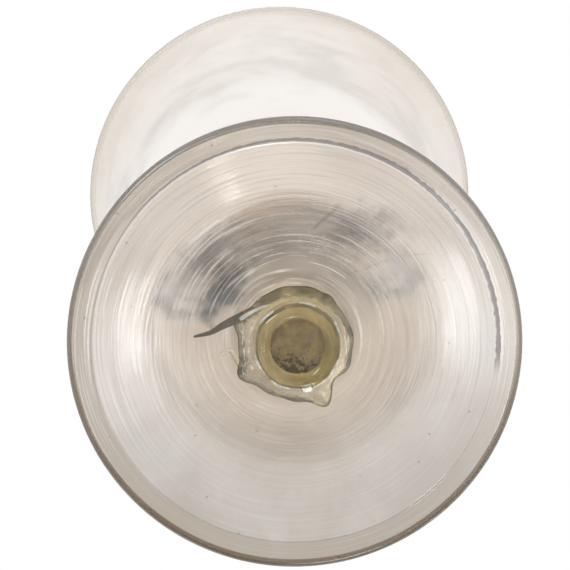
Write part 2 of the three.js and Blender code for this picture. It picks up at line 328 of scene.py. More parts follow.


# %% Single line and patch along the rings
def make_scratch_and_shade_line():
    """One curved line between two spots of the XY plane, fading at its ends, for a scratch and for a bar of
    painted shade.
    """
    tree, given, result = open_group("scratch and shade line", {"Start X": 0.012, "Start Y": -0.011, "End X": 0.0287,
                                                      "End Y": -0.0144, "Sag": 0.0012, "Width": 0.00009})
    start = combined(given["Start X"], given["Start Y"])
    end = combined(given["End X"], given["End Y"])
    run = vector_calc("SUBTRACT", end, start)
    length = length_of(run)
    along = vector_calc("NORMALIZE", run)
    aside = vector_calc("CROSS_PRODUCT", along, (0, 0, 1))
    spot = vector_calc("SUBTRACT", own_place(tree), start)
    share = calc("DIVIDE", dot(spot, along), length)
    bow = times(given["Sag"], calc("SINE", times(share, math.pi)))
    off = calc("ABSOLUTE", minus(dot(spot, aside), bow))
    ends = times(ramp(share, 0.0, 0.2), ramp(share, 1.0, 0.8))
    return close_group(tree, result, Mask=times(ramp(off, given["Width"], 0.0), ends))


def make_ring_patch():
    """A soft patch that follows the rings, at one radius in one direction from the axis."""
    tree, given, result = open_group("ring patch", {"Side X": 0.0, "Side Y": -1.0, "Radius": 0.02,
                                                      "Along": 0.005, "Across": 0.002})
    place = own_place(tree)
    outwards, radius = around_axis(place)
    side = vector_calc("NORMALIZE", combined(given["Side X"], given["Side Y"]))
    turned = calc("ARCCOSINE", dot(outwards, side))
    along = calc("DIVIDE", times(turned, given["Radius"]), given["Along"])
    across = calc("DIVIDE", minus(radius, given["Radius"]), given["Across"])
    reach = length_of(combined(along, across))
    wander = ramp(clouds(place, 330.0, 4.0), 0.3, 0.7, -0.35, 0.35)
    return close_group(tree, result, Mask=ramp(plus(reach, wander), 1.4, 0.35))


scratch_and_shade_line = make_scratch_and_shade_line()
ring_patch = make_ring_patch()
print("groups:", [g.name for g in bpy.data.node_groups])


# %% [markdown]
# ## A glass material
# All the glasses share one base: the Principled shader as clear glass, whose tint and finish differ. Glass
# throws only a faint shadow in soft light, so rays that look for a lamp pass through as if the piece were
# a tinted pane.

# %% Base glass
pane_tint = (0.97, 0.96, 0.95)


def start_glass(name, transmission=1.0, shadow_tint=pane_tint):
    """A new glass material, as (material, its tree, its Principled node)."""
    material = bpy.data.materials.new(name)
    material.use_nodes = True
    tree = material.node_tree
    tree.nodes.clear()
    glass = add_node(tree, "BsdfPrincipled", {"IOR": 1.5, "Transmission Weight": transmission,
                                              "Roughness": 0.05})
    pane = add_node(tree, "BsdfTransparent", {"Color": (*shadow_tint, 1)})
    lamp_ray = add_node(tree, "LightPath").outputs["Is Shadow Ray"]
    both = add_node(tree, "MixShader", {0: lamp_ray, 1: glass.outputs[0], 2: pane.outputs[0]})
    add_node(tree, "OutputMaterial", {"Surface": both.outputs[0]})
    return material, tree, glass


def fill_body(tree, tint, density):
    """Tints the inside, so that thick places are darker. Only for a piece with one glass all round."""
    body = add_node(tree, "VolumeAbsorption", {"Color": (*tint, 1), "Density": density})
    output = next(node for node in tree.nodes if node.type == "OUTPUT_MATERIAL")
    tree.links.new(body.outputs[0], output.inputs["Volume"])


def set_finish(glass, colour, roughness, normal):
    for socket, source in (("Base Color", colour), ("Roughness", roughness), ("Normal", normal)):
        glass.id_data.links.new(source, glass.inputs[socket])


def film_mask(tree, size, low, high):
    return use_group(tree, weathered_film, Size=size, Low=low, High=high)["Mask"]


print("base glass ready")


# %% [markdown]
# ## The top of the foot
# The foot's upper face is kept smoother than its underside. A thin, even bloom lies on it and softens what
# is seen through it. The cone thickens towards the neck and is browner there, partly from its thick metal
# and partly from painted shade, where the stem shows dark through it.

# %% Foot top glass
bloom_smooth = 0.12
bloom_dull = 0.17
neck_dull = 0.50


def make_foot_top_glass():
    material, tree, glass = start_glass("bloomed foot top")
    place = own_place(tree)
    radius = length_of(flattened(place))
    film = film_mask(tree, 60.0, 0.35, 0.75)
    colour = blend_colours(film, (0.99, 0.98, 0.965), (0.96, 0.945, 0.925))
    # Browner towards the neck: partly the thick metal, partly painted shade of the stem seen through it
    colour = paint_over(colour, (ramp(radius, 0.033, 0.011), (0.87, 0.775, 0.65)))
    rough = plus(ramp(film, 0.0, 1.0, bloom_smooth, bloom_dull), ramp(radius, 0.019, 0.0135, 0.0, neck_dull))
    set_finish(glass, colour, rough, bumped(clouds(place, 90.0, 2.0), 0.05, 0.001))
    return material


foot_top_glass = make_foot_top_glass()
print("material:", foot_top_glass.name)


# %% [markdown]
# ## The underside of the foot
# The underside has stood and turned on tables for a long time. It is scuffed in rings, so it is rough and
# slightly milky. Its colour is laid on in three steps: the tint of the metal with painted shade and light,
# the fold with painted shade on its edge and in its crevice, and the wear with painted dark patches and
# painted glints. Every mask says in metres where its zone begins and ends, from one side of the foot to the
# other or from its axis outwards.

# %% Tint and painted shade of the metal
# The metal's own colour towards -Y, and its painted shade towards +Y
pale_metal = (0.60, 0.515, 0.44)
shaded_metal = (0.33, 0.28, 0.235)
milky_film = (0.92, 0.88, 0.84)
foot_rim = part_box("foot")[1].x
fold_line = foot_rim - 0.005


def tint_and_shade_metal(x, y, radius, film):
    """Painted shade and light: darker and browner towards +Y, on its flanks and in a stripe, paler towards
    -Y, dark round the neck.
    """
    across = calc("ABSOLUTE", x)
    shaded_flanks = times(ramp(across, 0.012, 0.026), ramp(y, 0.006, 0.018), ramp(x, -0.02, 0.02, 0.48, 0.20))
    painted_lighter = times(ramp(across, 0.016, 0.002), ramp(y, -0.016, -0.03))
    thicker = ramp(radius, 0.031, 0.019, 0.0, 0.3)
    # Painted shade round the neck, where the stem shows dark through the foot
    shade = times(ramp(radius, 0.019, 0.0155), ramp(y, -0.005, -0.012), 0.8)
    shaded_stripe = times(ramp(across, 0.011, 0.001), ramp(y, 0.004, 0.02), 0.3)
    colour = blend_colours(ramp(y, -0.004, 0.034), pale_metal, shaded_metal)
    return paint_over(colour, (shaded_flanks, (0.24, 0.20, 0.165)), (painted_lighter, (0.80, 0.70, 0.60)),
                      (thicker, (0.26, 0.20, 0.15)), (shade, (0.20, 0.17, 0.14)),
                      (shaded_stripe, (0.20, 0.15, 0.085)), (times(film, 0.2), milky_film))


print("fold line:", round(fold_line, 4))


# %% Fold and painted shade
# Painted shade for the crevice and the round edge; the fold's colour is its double wall with painted shade
crevice_shade = (0.09, 0.075, 0.08)
fold_metal_and_shade = (0.22, 0.165, 0.11)
edge_shade = (0.085, 0.068, 0.05)
crevice_softness = 0.00012


def fold_masks(x, y, radius):
    """The folded rim, whose two walls make it darker than the disc, with painted shade that deepens it
    towards +Y and fades out towards +X, and its round outer edge, which takes painted shade.
    """
    folded = times(ramp(radius, fold_line - 0.0001, fold_line + 0.0004),
                   ramp(y, -0.042, 0.0, 0.5, 0.74), ramp(x, 0.04, 0.012))
    return folded, ramp(radius, foot_rim - 0.0014, foot_rim - 0.0006)


def crevice_shade_mask(place, outwards, radius, y, z):
    """Painted shade in the crevice inside the fold, wider towards +X and -Y, with a ragged inner edge."""
    ragged = clouds(place, 900.0, 3.0)
    width = ramp(dot(outwards, (0.85, -0.5, 0.0)), -0.7, 0.95, 0.00022, 0.00105)
    inner = plus(times(ragged, width, -0.9), ramp(y, -0.012, -0.032, fold_line + 0.0003, fold_line + 0.0005))
    outer = plus(inner, width)
    return times(ramp(minus(radius, inner), 0.0, crevice_softness), ramp(minus(outer, radius), 0.0, crevice_softness),
                 ramp(z, 0.0021, 0.0019), ramp(y, 0.011, 0.006))


print("crevice of the fold from radius", round(fold_line, 4), "to", round(foot_rim, 4))


# %% Wear, painted patches and glints
patch_shade = (0.055, 0.06, 0.07)
score_tone = (0.20, 0.175, 0.165)
# The tone of the painted glints
glint_tone = (1.0, 0.97, 0.93)
pit_tone = (0.10, 0.08, 0.06)
# Painted dark patches on the underside, where the stem and wings show dark through the foot: direction from
# the axis, radius, reach along and across the rings, strength
dark_patches = [
    (-0.75, -0.66, 0.0165, 0.0070, 0.0036, 0.95),
    (0.62, -0.78, 0.0205, 0.0056, 0.0046, 0.45),
    (0.59, -0.80, 0.0262, 0.0062, 0.0040, 0.50),
    (0.70, -0.70, 0.0302, 0.0042, 0.0022, 0.35),
    (-0.64, -0.77, 0.0240, 0.0080, 0.0038, 0.58),
]


def dark_patch_layers(tree):
    """Painted slate-grey shade along the rings, on the side towards -Y, where the stem and wings show dark
    through the foot.
    """
    for side_x, side_y, radius, along, across, strength in dark_patches:
        shade_patch = use_group(tree, ring_patch, Side_X=side_x, Side_Y=side_y, Radius=radius, Along=along,
                        Across=across)["Mask"]
        yield times(shade_patch, strength), patch_shade


def scratch_and_shade_layers(tree):
    """A long fine scratch, and a short broad dark bar across the rings, painted shade where a wing's edge
    shows dark through the foot.
    """
    yield times(use_group(tree, scratch_and_shade_line)["Mask"], 0.8), (0.20, 0.16, 0.13)
    shade_bar = use_group(tree, scratch_and_shade_line, Start_X=0.0052, Start_Y=-0.0209, End_X=0.0112, End_Y=-0.0252,
                    Sag=0.0, Width=0.00055)["Mask"]
    yield times(shade_bar, 0.6), (0.16, 0.14, 0.12)


print("rubs:", len(dark_patches))


# %% Foot glass
def make_foot_glass():
    material, tree, glass = start_glass("scuffed foot glass")
    marks = use_group(tree, turned_marks, Fine=0.24, Coarse=0.22, Patchiness=0.5)
    film = film_mask(tree, 45.0, 0.35, 0.75)
    pits = use_group(tree, pits_and_seeds, Size=260.0, Reach=0.09, Share=0.9)["Mask"]
    scratches = use_group(tree, stray_scratches, Size=26.0, Width=0.003, Share=0.5)["Mask"]
    place = own_place(tree)
    x, y, z = add_node(tree, "SeparateXYZ", {0: place}).outputs
    outwards, radius = around_axis(place)

    folded, edge = fold_masks(x, y, radius)
    crevice = crevice_shade_mask(place, outwards, radius, y, z)
    # The rings are scored deepest towards -Y, and the side towards +Y is worn smooth
    deep = times(ramp(radius, 0.0305, 0.028), ramp(y, -0.002, -0.012))
    worn = times(ramp(y, 0.008, 0.022, 0.0, 0.7), ramp(radius, 0.018, 0.026))
    scores = times(marks["Scores"], minus(1.0, worn), ramp(deep, 0.0, 1.0, 0.26, 0.42))
    # Painted glints, lighter arcs, fewer towards +Y
    glints = times(marks["Glints"], ramp(y, 0.008, 0.02, 0.28, 0.06))
    # More painted glints over the dark middle towards -Y
    deep_glints = times(marks["Glints"], deep, 0.45)

    colour = tint_and_shade_metal(x, y, radius, film)
    # Over the tint: the fold, painted shade of the edge and crevice, painted dark patches, scores, painted
    # glints, pits, a scratch and a painted shade bar
    colour = paint_over(colour, (folded, fold_metal_and_shade), (times(edge, 0.88), edge_shade),
                        (times(crevice, 0.92), crevice_shade), *dark_patch_layers(tree), (scores, score_tone),
                        (plus(glints, deep_glints), glint_tone), (pits, pit_tone), *scratch_and_shade_layers(tree))
    rough = plus(ramp(film, 0.0, 1.0, 0.08, 0.13), times(marks["Streaks"], 0.08),
                 times(scratches, 0.05), times(edge, 0.15), times(deep_glints, 0.5))
    # The turned marks end at the round edge and fade where the foot is worn smooth
    plain = add_node(tree, "NewGeometry").outputs["Normal"]
    smoothed = calc("MAXIMUM", edge, worn)
    normal = add_node(tree, "Mix", {0: smoothed, 4: marks["Normal"], 5: plain}, data_type="VECTOR").outputs[1]
    set_finish(glass, colour, rough, normal)
    return material


foot_glass = make_foot_glass()
print("material:", foot_glass.name)


# %% [markdown]
# ## The other glasses
# Stem, bowl and wings share the foot's recipe with their own tint and finish. The bowl is smooth, with
# painted shade and clouds of film on its upper wall. The wings are a shade bluer. The pontil scar is a
# different glass, yellow-green, and its sunken disc is gritty from the iron. Its outlines, its tail and the
# edge of its disc carry painted shade, and its groove painted highlights.

# %% Stem and wing glass
smoky_tint = (0.42, 0.26, 0.02)


def make_plain_glass(name, tint, filmed_tint, body_tint, density, smooth=0.03, dull=0.10, film_size=90.0):
    material, tree, glass = start_glass(name, shadow_tint=(0.97, 0.97, 0.97))
    fill_body(tree, body_tint, density)
    film = film_mask(tree, film_size, 0.42, 0.72)
    pits = use_group(tree, pits_and_seeds, Size=240.0, Reach=0.07, Share=0.05)["Mask"]
    colour = paint_over(blend_colours(film, tint, filmed_tint), (pits, (0.4, 0.36, 0.3)))
    normal = bumped(clouds(own_place(tree), 90.0, 2.0), 0.05, 0.001)
    set_finish(glass, colour, ramp(film, 0.0, 1.0, smooth, dull), normal)
    return material


stem_glass = make_plain_glass("stem glass", (0.99, 0.98, 0.965), (0.96, 0.945, 0.92),
                              (0.36, 0.33, 0.30), 8.0)
loop_glass = make_plain_glass("loop glass", (0.86, 0.865, 0.87), (0.82, 0.815, 0.80),
                              (0.40, 0.37, 0.33), 62.0)
wing_glass = make_plain_glass("wing glass", (0.985, 0.99, 0.995), (0.97, 0.975, 0.98),
                              (0.25, 0.38, 0.55), 10.0, smooth=0.04, film_size=120.0)
chip_glass = make_plain_glass("pontil chip glass", (0.97, 0.95, 0.90), (0.93, 0.91, 0.85), smoky_tint, 5.0,
                              smooth=0.02, dull=0.05, film_size=120.0)
print("materials:", [m.name for m in bpy.data.materials])


# %% Bowl glass
# Where the painted shade of the upper wall begins, as a share of the bowl's height, and how softly
shade_line_level = 0.30
shade_line_fade = 0.022


def make_bowl_glass():
    material, tree, glass = start_glass("bowl glass")
    fill_body(tree, smoky_tint, 34.0)
    low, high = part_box("bowl")
    place = own_place(tree)
    x, _, level = add_node(tree, "SeparateXYZ", {0: place}).outputs
    film = film_mask(tree, 42.0, 0.36, 0.70)
    stains = film_mask(tree, 110.0, 0.52, 0.74)
    # Painted shade above a soft line on the upper wall, mottled by film and stains
    shade_line = low.z + (high.z - low.z) * shade_line_level
    shaded_upper = ramp(level, shade_line, shade_line + shade_line_fade)
    # Painted shade: the flanks are browner, most of all towards +X, and the fire-polished rim is thick and
    # painted darker still
    across = calc("ABSOLUTE", plus(x, 0.004))
    shaded_flank = times(shaded_upper, ramp(across, 0.014, 0.038, 0.0, 0.45))
    rim = ramp(level, high.z - 0.0035, high.z - 0.0012, 0.0, 0.5)
    colour = blend_colours(shaded_upper, (0.97, 0.935, 0.91), (0.90, 0.845, 0.80))
    colour = paint_over(colour, (times(shaded_upper, film, 0.6), (0.76, 0.69, 0.61)),
                        (times(shaded_upper, stains, 0.28), (0.62, 0.55, 0.47)),
                        (shaded_flank, (0.66, 0.56, 0.44)), (rim, (0.50, 0.44, 0.38)))
    rough = plus(ramp(film, 0.0, 1.0, 0.04, 0.13), times(rim, 0.5))
    # Only the slow swell of blown glass
    set_finish(glass, colour, rough, bumped(clouds(place, 40.0, 1.0), 0.04, 0.001))
    return material


bowl_glass = make_bowl_glass()
print("material:", bowl_glass.name)


# %% Pontil glass
def make_pontil_glass(name, transmission, clear, stained, deep, towards, cloud_size=260.0):
    """Clear and stained by turns, and deep where the wad is thick, towards one side."""
    material, tree, glass = start_glass(name, transmission, (0.9, 0.88, 0.8))
    place = own_place(tree)
    film = film_mask(tree, cloud_size, 0.38, 0.68)
    deeper = ramp(dot(place, towards), 0.001, 0.010)
    colour = paint_over(blend_colours(film, clear, stained), (deeper, deep))
    normal = bumped(clouds(place, 500.0, 3.0), 0.25, 0.0005)
    set_finish(glass, colour, ramp(film, 0.0, 1.0, 0.04, 0.18), normal)
    return material


collar_glass = make_pontil_glass("pontil collar glass", 0.96, (0.97, 0.95, 0.86), (0.86, 0.81, 0.66),
                                 (0.68, 0.60, 0.33), (0.1, -1, 0))
ring_glass = make_pontil_glass("pontil ring glass", 0.85, (0.54, 0.455, 0.20), (0.42, 0.345, 0.14),
                               (0.15, 0.13, 0.022), (0.8, 0.6, 0))
groove_glass = make_pontil_glass("pontil groove glass", 1.0, (1.0, 0.99, 0.96), (0.93, 0.90, 0.80),
                                 (0.55, 0.48, 0.27), (-0.35, -0.94, 0))
# Painted shade: a dark olive outline for the ring's outer flank and the collar's edge
outline_shade_glass = make_pontil_glass("pontil outline shade", 0.8, (0.30, 0.27, 0.13), (0.22, 0.19, 0.09),
                               (0.24, 0.20, 0.08), (0, -1, 0))
# Painted shade: the tail is tinted dark, as a thin refracting sliver looks
tail_shade_glass = make_pontil_glass("pontil tail shade", 0.6, (0.21, 0.19, 0.155), (0.15, 0.13, 0.105),
                               (0.21, 0.19, 0.155), (0, -1, 0))
# Painted highlight: a pale glass, half diffuse, that shows white along the groove
groove_highlight_glass = make_pontil_glass("painted groove highlight", 0.45, (0.93, 0.93, 0.91), (0.50, 0.50, 0.48),
                              (0.66, 0.67, 0.68), (0, -1, 0), cloud_size=700.0)
print("materials:", [m.name for m in bpy.data.materials])


# %% Pontil grit
grit_centre = (0.0008, 0.0016, 0)


def make_pontil_grit():
    """The iron's own mark: brown scale and dark grains baked into the sunken disc."""
    material, tree, grit = start_glass("pontil grit", 0.25, (0.6, 0.55, 0.45))
    place = own_place(tree)
    cloud = clouds(place, 420.0, 5.0, Roughness=0.6)
    grey = ramp(clouds(place, 190.0, 2.0), 0.5, 0.66, 0.0, 0.6)
    from_centre = length_of(flattened(vector_calc("SUBTRACT", place, grit_centre)))
    # Painted shade, darker round the edge of the sunken disc
    rim_shade = times(ramp(from_centre, 0.0042, 0.0053, 0.0, 0.75), ramp(cloud, 0.35, 0.55))
    # Dark grains lie thickest along the disc's edge on one side
    thick = ramp(dot(place, (-0.30, 0.96, 0.0)), -0.001, 0.0062, -0.09, 0.15)
    grains = clouds(place, 1500.0, 4.0, Roughness=0.65)
    dark = ramp(plus(grains, thick), 0.61, 0.67)
    colour = blend_colours(ramp(cloud, 0.35, 0.65), (0.25, 0.18, 0.07), (0.15, 0.105, 0.045))
    colour = paint_over(colour, (grey, (0.17, 0.14, 0.125)), (rim_shade, (0.13, 0.095, 0.045)),
                        (dark, (0.05, 0.035, 0.02)))
    rough = ramp(cloud, 0.3, 0.7, 0.35, 0.6)
    set_finish(grit, colour, rough, bumped(cloud, 0.7, 0.0004))
    return material


grit_glass = make_pontil_grit()
print("material:", grit_glass.name)


# %% [markdown]
# ## Mesh helpers
# Blown and tooled glass is nearly all turned work, so the main helper spins a profile round the axis. A
# second one draws a smooth line through a few points, because molten glass keeps no corners. A third makes
# the mesh an object that rides on the frame and stands for its node. The last two keep a share between 0
# and 1 and read a node's size.

# %% Mesh helpers
def flow(points, steps=8):
    """A smooth line through the points, as a list of plain tuples."""
    line = []
    knots = [Vector(p) for p in points]
    for i in range(len(knots) - 1):
        a, b, c, d = (knots[min(max(k, 0), len(knots) - 1)] for k in (i - 1, i, i + 1, i + 2))
        for k in range(steps):
            t = k / steps
            line.append(0.5 * (2 * b + (c - a) * t + (2 * a - 5 * b + 4 * c - d) * t ** 2
                               + (3 * b - a - 3 * c + d) * t ** 3))
    line.append(knots[-1])
    return [tuple(p) for p in line]


def turn(profile, sides=160):
    """A bmesh turned from (radius, height) points about Z."""
    mesh = bmesh.new()
    corners = [mesh.verts.new((radius, 0, height)) for radius, height in profile]
    edges = [mesh.edges.new(pair) for pair in zip(corners, corners[1:])]
    bmesh.ops.spin(mesh, geom=corners + edges, cent=(0, 0, 0), axis=(0, 0, 1),
                   angle=2 * math.pi, steps=sides, use_merge=True)
    bmesh.ops.remove_doubles(mesh, verts=mesh.verts, dist=1e-7)
    bmesh.ops.recalc_face_normals(mesh, faces=mesh.faces)
    return mesh


def finish_piece(mesh, name, material, slot, *nodes):
    """Makes the bmesh an object, smooth, on the frame's body, standing for the nodes."""
    data = bpy.data.meshes.new(name)
    for face in mesh.faces:
        face.smooth = True
    mesh.to_mesh(data)
    mesh.free()
    data.materials.append(material)
    piece = bpy.data.objects.new(name, data)
    bpy.context.scene.collection.objects.link(piece)
    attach(piece, "root")
    if nodes:
        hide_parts(*nodes)
    print(f"{name}: {len(data.polygons)} faces")
    return piece


def share_between(value, start, end):
    """How far the value has come from start to end, from 0 to 1."""
    return min(max((value - start) / (end - start), 0), 1)


def size_of(node):
    """A turned node's radius, bottom and top, from the frame."""
    low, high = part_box(node)
    return high.x, low.z, high.z


print("mesh helpers ready")


# %% [markdown]
# ## The foot
# The foot is a blown disc whose edge was folded under while it was soft, so its rim is double and strong.
# Underneath it rises to a flat kick where the pontil iron was stuck on. It could be cut out of a cylinder,
# but a blown foot takes its shape by turning, and so does this one. The profile is drawn from the middle of
# the underside, out along the slope, round the fold and back over the top to the neck.

# %% Sizes of the foot
foot_top = size_of("foot")[2]
neck_radius = 0.0075
kick_height = 0.0076
kick_radius = 0.013
kick_curve = 1.4
fold_thickness = 0.0034
half_fold = fold_thickness / 2
foot_wall = 0.0019
ridge_height = 0.000008
step_radius = 0.0282
step_round = 0.0045
slope_low = fold_thickness - foot_wall


def underside(radius):
    """The height of the foot's underside at a radius."""
    share = share_between(radius, fold_line, kick_radius)
    return slope_low + (kick_height - slope_low) * share ** kick_curve


print("underside at the step:", round(underside(step_radius), 4))


# %% Profile of the foot
def foot_underside():
    """From the middle out along the ridged slope and down over the fold's soft lip."""
    ridges = random.Random(11)
    profile = [(0, kick_height), (kick_radius * 0.5, kick_height), (kick_radius * 0.9, kick_height)]
    steps = 52
    for i in range(steps):
        radius = kick_radius + (fold_line - kick_radius) * i / steps
        profile.append((radius, underside(radius) + ridges.uniform(-1, 1) * ridge_height))
    lip = [(fold_line, slope_low), (fold_line + 0.0001, 0.0009), (fold_line + 0.00022, 0.00045),
           (fold_line + 0.0005, 0.00027), (fold_line + 0.0012, 0.00011), (foot_rim - half_fold - 0.0014, 0)]
    return profile + flow(lip, steps=5)


def foot_edge():
    """Half round, from the resting face up to the top of the fold."""
    steps = 18
    angles = [math.pi * i / steps - math.pi / 2 for i in range(steps + 1)]
    return [(foot_rim - half_fold + half_fold * math.cos(angle), half_fold + half_fold * math.sin(angle))
            for angle in angles]


def foot_upper_face():
    """Two slopes that meet at the step, where a round of a given reach eases one into the other."""
    top = underside(step_radius) + foot_wall
    start = (fold_line, slope_low + foot_wall + 0.00025)
    profile = [(foot_rim - half_fold - 0.0013, fold_thickness + 0.00006), start]
    slopes = [(start[1] - top) / (start[0] - step_radius), (top - foot_top) / (step_radius - neck_radius)]
    steps = 60
    for i in range(1, steps + 1):
        radius = start[0] + (neck_radius - start[0]) * i / steps
        away = radius - step_radius
        height = top + away * slopes[0 if away > 0 else 1]
        if abs(away) < step_round:
            height += (slopes[0] - slopes[1]) * (step_round - abs(away)) ** 2 / (4 * step_round)
        profile.append((radius, height))
    return profile + [(0, foot_top)]


foot_profile = foot_underside() + foot_edge() + foot_upper_face()
print("points in the profile:", len(foot_profile))


# %% Foot
foot_mesh = turn(foot_profile, sides=224)
# The upper face has its own glass
for face in foot_mesh.faces:
    middle = face.calc_center_median()
    away = math.hypot(middle.x, middle.y)
    if away < foot_rim - 0.0015 and middle.z > max(underside(away), half_fold) + foot_wall / 2:
        face.material_index = 1
foot = finish_piece(foot_mesh, "foot_disc", foot_glass, "foot_glass", "foot")
foot.data.materials.append(foot_top_glass)


# %% [markdown]
# ## The collars
# A collar, or merese, is a small disc of glass that joins two gathers. A flattened sphere would look much
# the same, but a turned profile ends in small flat seats. Each piece of the stem reaches a hair into its
# neighbours, as glass that was joined hot does, so that light runs through the joint instead of glancing
# off a gap.

# %% Collars
joint = 0.0001
seat_radius = 0.0055


def collar_profile(node):
    radius, base, top = size_of(node)
    middle = (base + top) / 2
    height = top - base
    half_way = (seat_radius + radius) / 2
    side = flow([(seat_radius, base - joint), (half_way, base + height * 0.2),
                 (radius - 0.0004, middle - height * 0.15), (radius, middle),
                 (radius - 0.0004, middle + height * 0.15), (half_way, top - height * 0.2),
                 (seat_radius, top + joint)], steps=6)
    return [(0, base - joint)] + side + [(0, top + joint)]


for node in ("foot_merese", "knop_merese", "loop_merese", "bowl_merese"):
    name = node.replace("merese", "collar")
    finish_piece(turn(collar_profile(node), sides=96), name, stem_glass, "stem_glass", node)


# %% [markdown]
# ## The ribbed knop and the small knop
# Knops are swellings of the stem, turned like the collars. The lower one was blown into a ribbed mould. Its
# ribs could be cut one by one, but a wave in the radius makes all twelve at once and lets them fade towards
# both ends. The small knop above the loop is plain.

# %% Ribbed knop and small knop
knop_ribs = 12
rib_depth = 0.0008


def knop_profile(node):
    radius, base, top = size_of(node)
    steps = 40
    opening = math.asin(seat_radius / radius * 0.9)
    profile = [(0, base - joint)]
    for i in range(steps + 1):
        angle = opening + (math.pi - 2 * opening) * i / steps
        rise = (1 - math.cos(angle) / math.cos(opening)) / 2
        profile.append((radius * math.sin(angle), base + (top - base) * rise))
    profile.append((0, top + joint))
    return profile


_, knop_base, knop_top = size_of("lower_knop")
knop = turn(knop_profile("lower_knop"), sides=192)
for corner in knop.verts:
    radius = math.hypot(corner.co.x, corner.co.y)
    fade = math.sin(math.pi * share_between(corner.co.z, knop_base, knop_top))
    groove = (math.cos(knop_ribs * math.atan2(corner.co.y, corner.co.x)) - 1) / 2
    if radius > 1e-6:
        scale = 1 + rib_depth * fade * groove / radius
        corner.co.x *= scale
        corner.co.y *= scale
finish_piece(knop, "ribbed_knop", stem_glass, "stem_glass", "lower_knop")
small_knop = turn(knop_profile("upper_knop"), sides=96)
finish_piece(small_knop, "small_knop", stem_glass, "stem_glass", "upper_knop")


# %% [markdown]
# ## Melting parts together
# Where rods cross or a crest is pinched onto a scroll, the hot glass flows into one skin with soft
# fillets. A boolean union would leave a sharp seam there. So overlapping parts are made first, and then a
# voxel remesh melts them and a light smoothing removes the grid.

# %% Melting helper
def sweep(path, sides, radius_at, across=Vector((0, 1, 0))):
    """A closed rod along the path. radius_at(share, angle) gives its section."""
    mesh = bmesh.new()
    ring = bmesh.ops.create_circle(mesh, segments=sides, radius=1.0)["verts"]
    last = len(path) - 1
    for i, centre in enumerate(path):
        if i:
            edges = [mesh.edges.get((ring[k - 1], ring[k])) for k in range(sides)]
            made = bmesh.ops.extrude_edge_only(mesh, edges=edges)["geom"]
            fresh = {v for v in made if isinstance(v, bmesh.types.BMVert)}
            ring = [next(e.other_vert(v) for e in v.link_edges if e.other_vert(v) in fresh) for v in ring]
        along = (path[min(i + 1, last)] - path[max(i - 1, 0)]).normalized()
        out = across.cross(along).normalized()
        side = along.cross(out)
        for k, corner in enumerate(ring):
            angle = 2 * math.pi * k / sides
            radius = radius_at(i / last, angle)
            corner.co = centre + out * (radius * math.cos(angle)) + side * (radius * math.sin(angle))
    bmesh.ops.holes_fill(mesh, edges=mesh.edges, sides=0)
    bmesh.ops.recalc_face_normals(mesh, faces=mesh.faces)
    return mesh


def melt(parts, voxel, smoothing):
    """One skin round several closed bmeshes."""
    together = bpy.data.meshes.new("melting")
    gathered = bmesh.new()
    for part in parts:
        part.to_mesh(together)
        gathered.from_mesh(together)
        part.free()
    gathered.to_mesh(together)
    gathered.free()
    body = bpy.data.objects.new("melting", together)
    bpy.context.scene.collection.objects.link(body)
    remesh = body.modifiers.new("melt", "REMESH")
    remesh.mode = "VOXEL"
    remesh.voxel_size = voxel
    smooth = body.modifiers.new("soften", "SMOOTH")
    smooth.factor = 0.5
    smooth.iterations = smoothing
    shown = body.evaluated_get(bpy.context.evaluated_depsgraph_get())
    result = bmesh.new()
    result.from_mesh(shown.to_mesh())
    bpy.data.objects.remove(body)
    bpy.data.meshes.remove(together)
    return result


print("melting helpers ready")


# %% [markdown]
# ## The figure of eight
# The middle of the stem is one ribbed rod, twisted while hot and bent into a figure of eight. Each strand
# climbs from the lower pad, swings out round a lobe, crosses the other at the waist and swings back. A curve
# with a round bevel would leave out the ribs. A section swept along the path turns as it goes, and its
# ribs wind round the rod.

# %% Path of the rod
_, loop_base, loop_top = size_of("stem_loop")
rod_radius = 0.0031
rod_ribs = 7
rib_height = 0.00042
rod_turns = 5
lower_reach = 0.0090
upper_reach = 0.0104
crossing = 0.0025
strand_overlap = 0.04
pad_radius = 0.005
pad_height = 0.007
waist = (loop_base + loop_top) / 2
lobe_span = loop_top - loop_base - 2 * (rod_radius + 0.0003)


def strand_point(theta):
    """A point of one strand. theta runs from 0 at the lower pad to pi at the upper one."""
    share = (1 - math.cos(theta)) / 2
    reach = lower_reach + (upper_reach - lower_reach) * share
    return Vector((reach * math.sin(2 * theta), crossing * math.sin(theta),
                   waist - lobe_span / 2 * math.cos(theta)))


strand_steps = 220
strand_turn = math.pi + 2 * strand_overlap
strand_path = [strand_point(strand_turn * i / strand_steps - strand_overlap) for i in range(strand_steps + 1)]
print("points along one strand:", len(strand_path))


# %% Figure of eight
def ribbed_section(share, angle):
    turned = rod_ribs * (angle + 2 * math.pi * rod_turns * share)
    return rod_radius - rib_height / 2 + rib_height / 2 * math.cos(turned)


def pad(base, direction):
    """The lump that joins the strands at one end. direction is 1 up from base and -1 down."""
    profile = [(0, base - joint * direction), (pad_radius, base - joint * direction)]
    shape = [(1, 0.35), (0.86, 0.75), (0.44, 0.97), (0, 1)]
    profile += flow([(pad_radius * r, base + direction * pad_height * h) for r, h in shape], steps=5)
    return turn(profile, sides=48)


def half_turned(mesh):
    """A copy on the other side of the axis."""
    copy = mesh.copy()
    bmesh.ops.rotate(copy, verts=copy.verts, cent=(0, 0, 0), matrix=Matrix.Rotation(math.pi, 3, "Z"))
    return copy


strand = sweep(strand_path, rod_ribs * 6, ribbed_section)
pads = [pad(loop_base, 1), pad(loop_top, -1)]
loop = melt([strand, half_turned(strand), *pads], voxel=0.0003, smoothing=3)
finish_piece(loop, "twisted_loop", loop_glass, "stem_glass", "stem_loop")


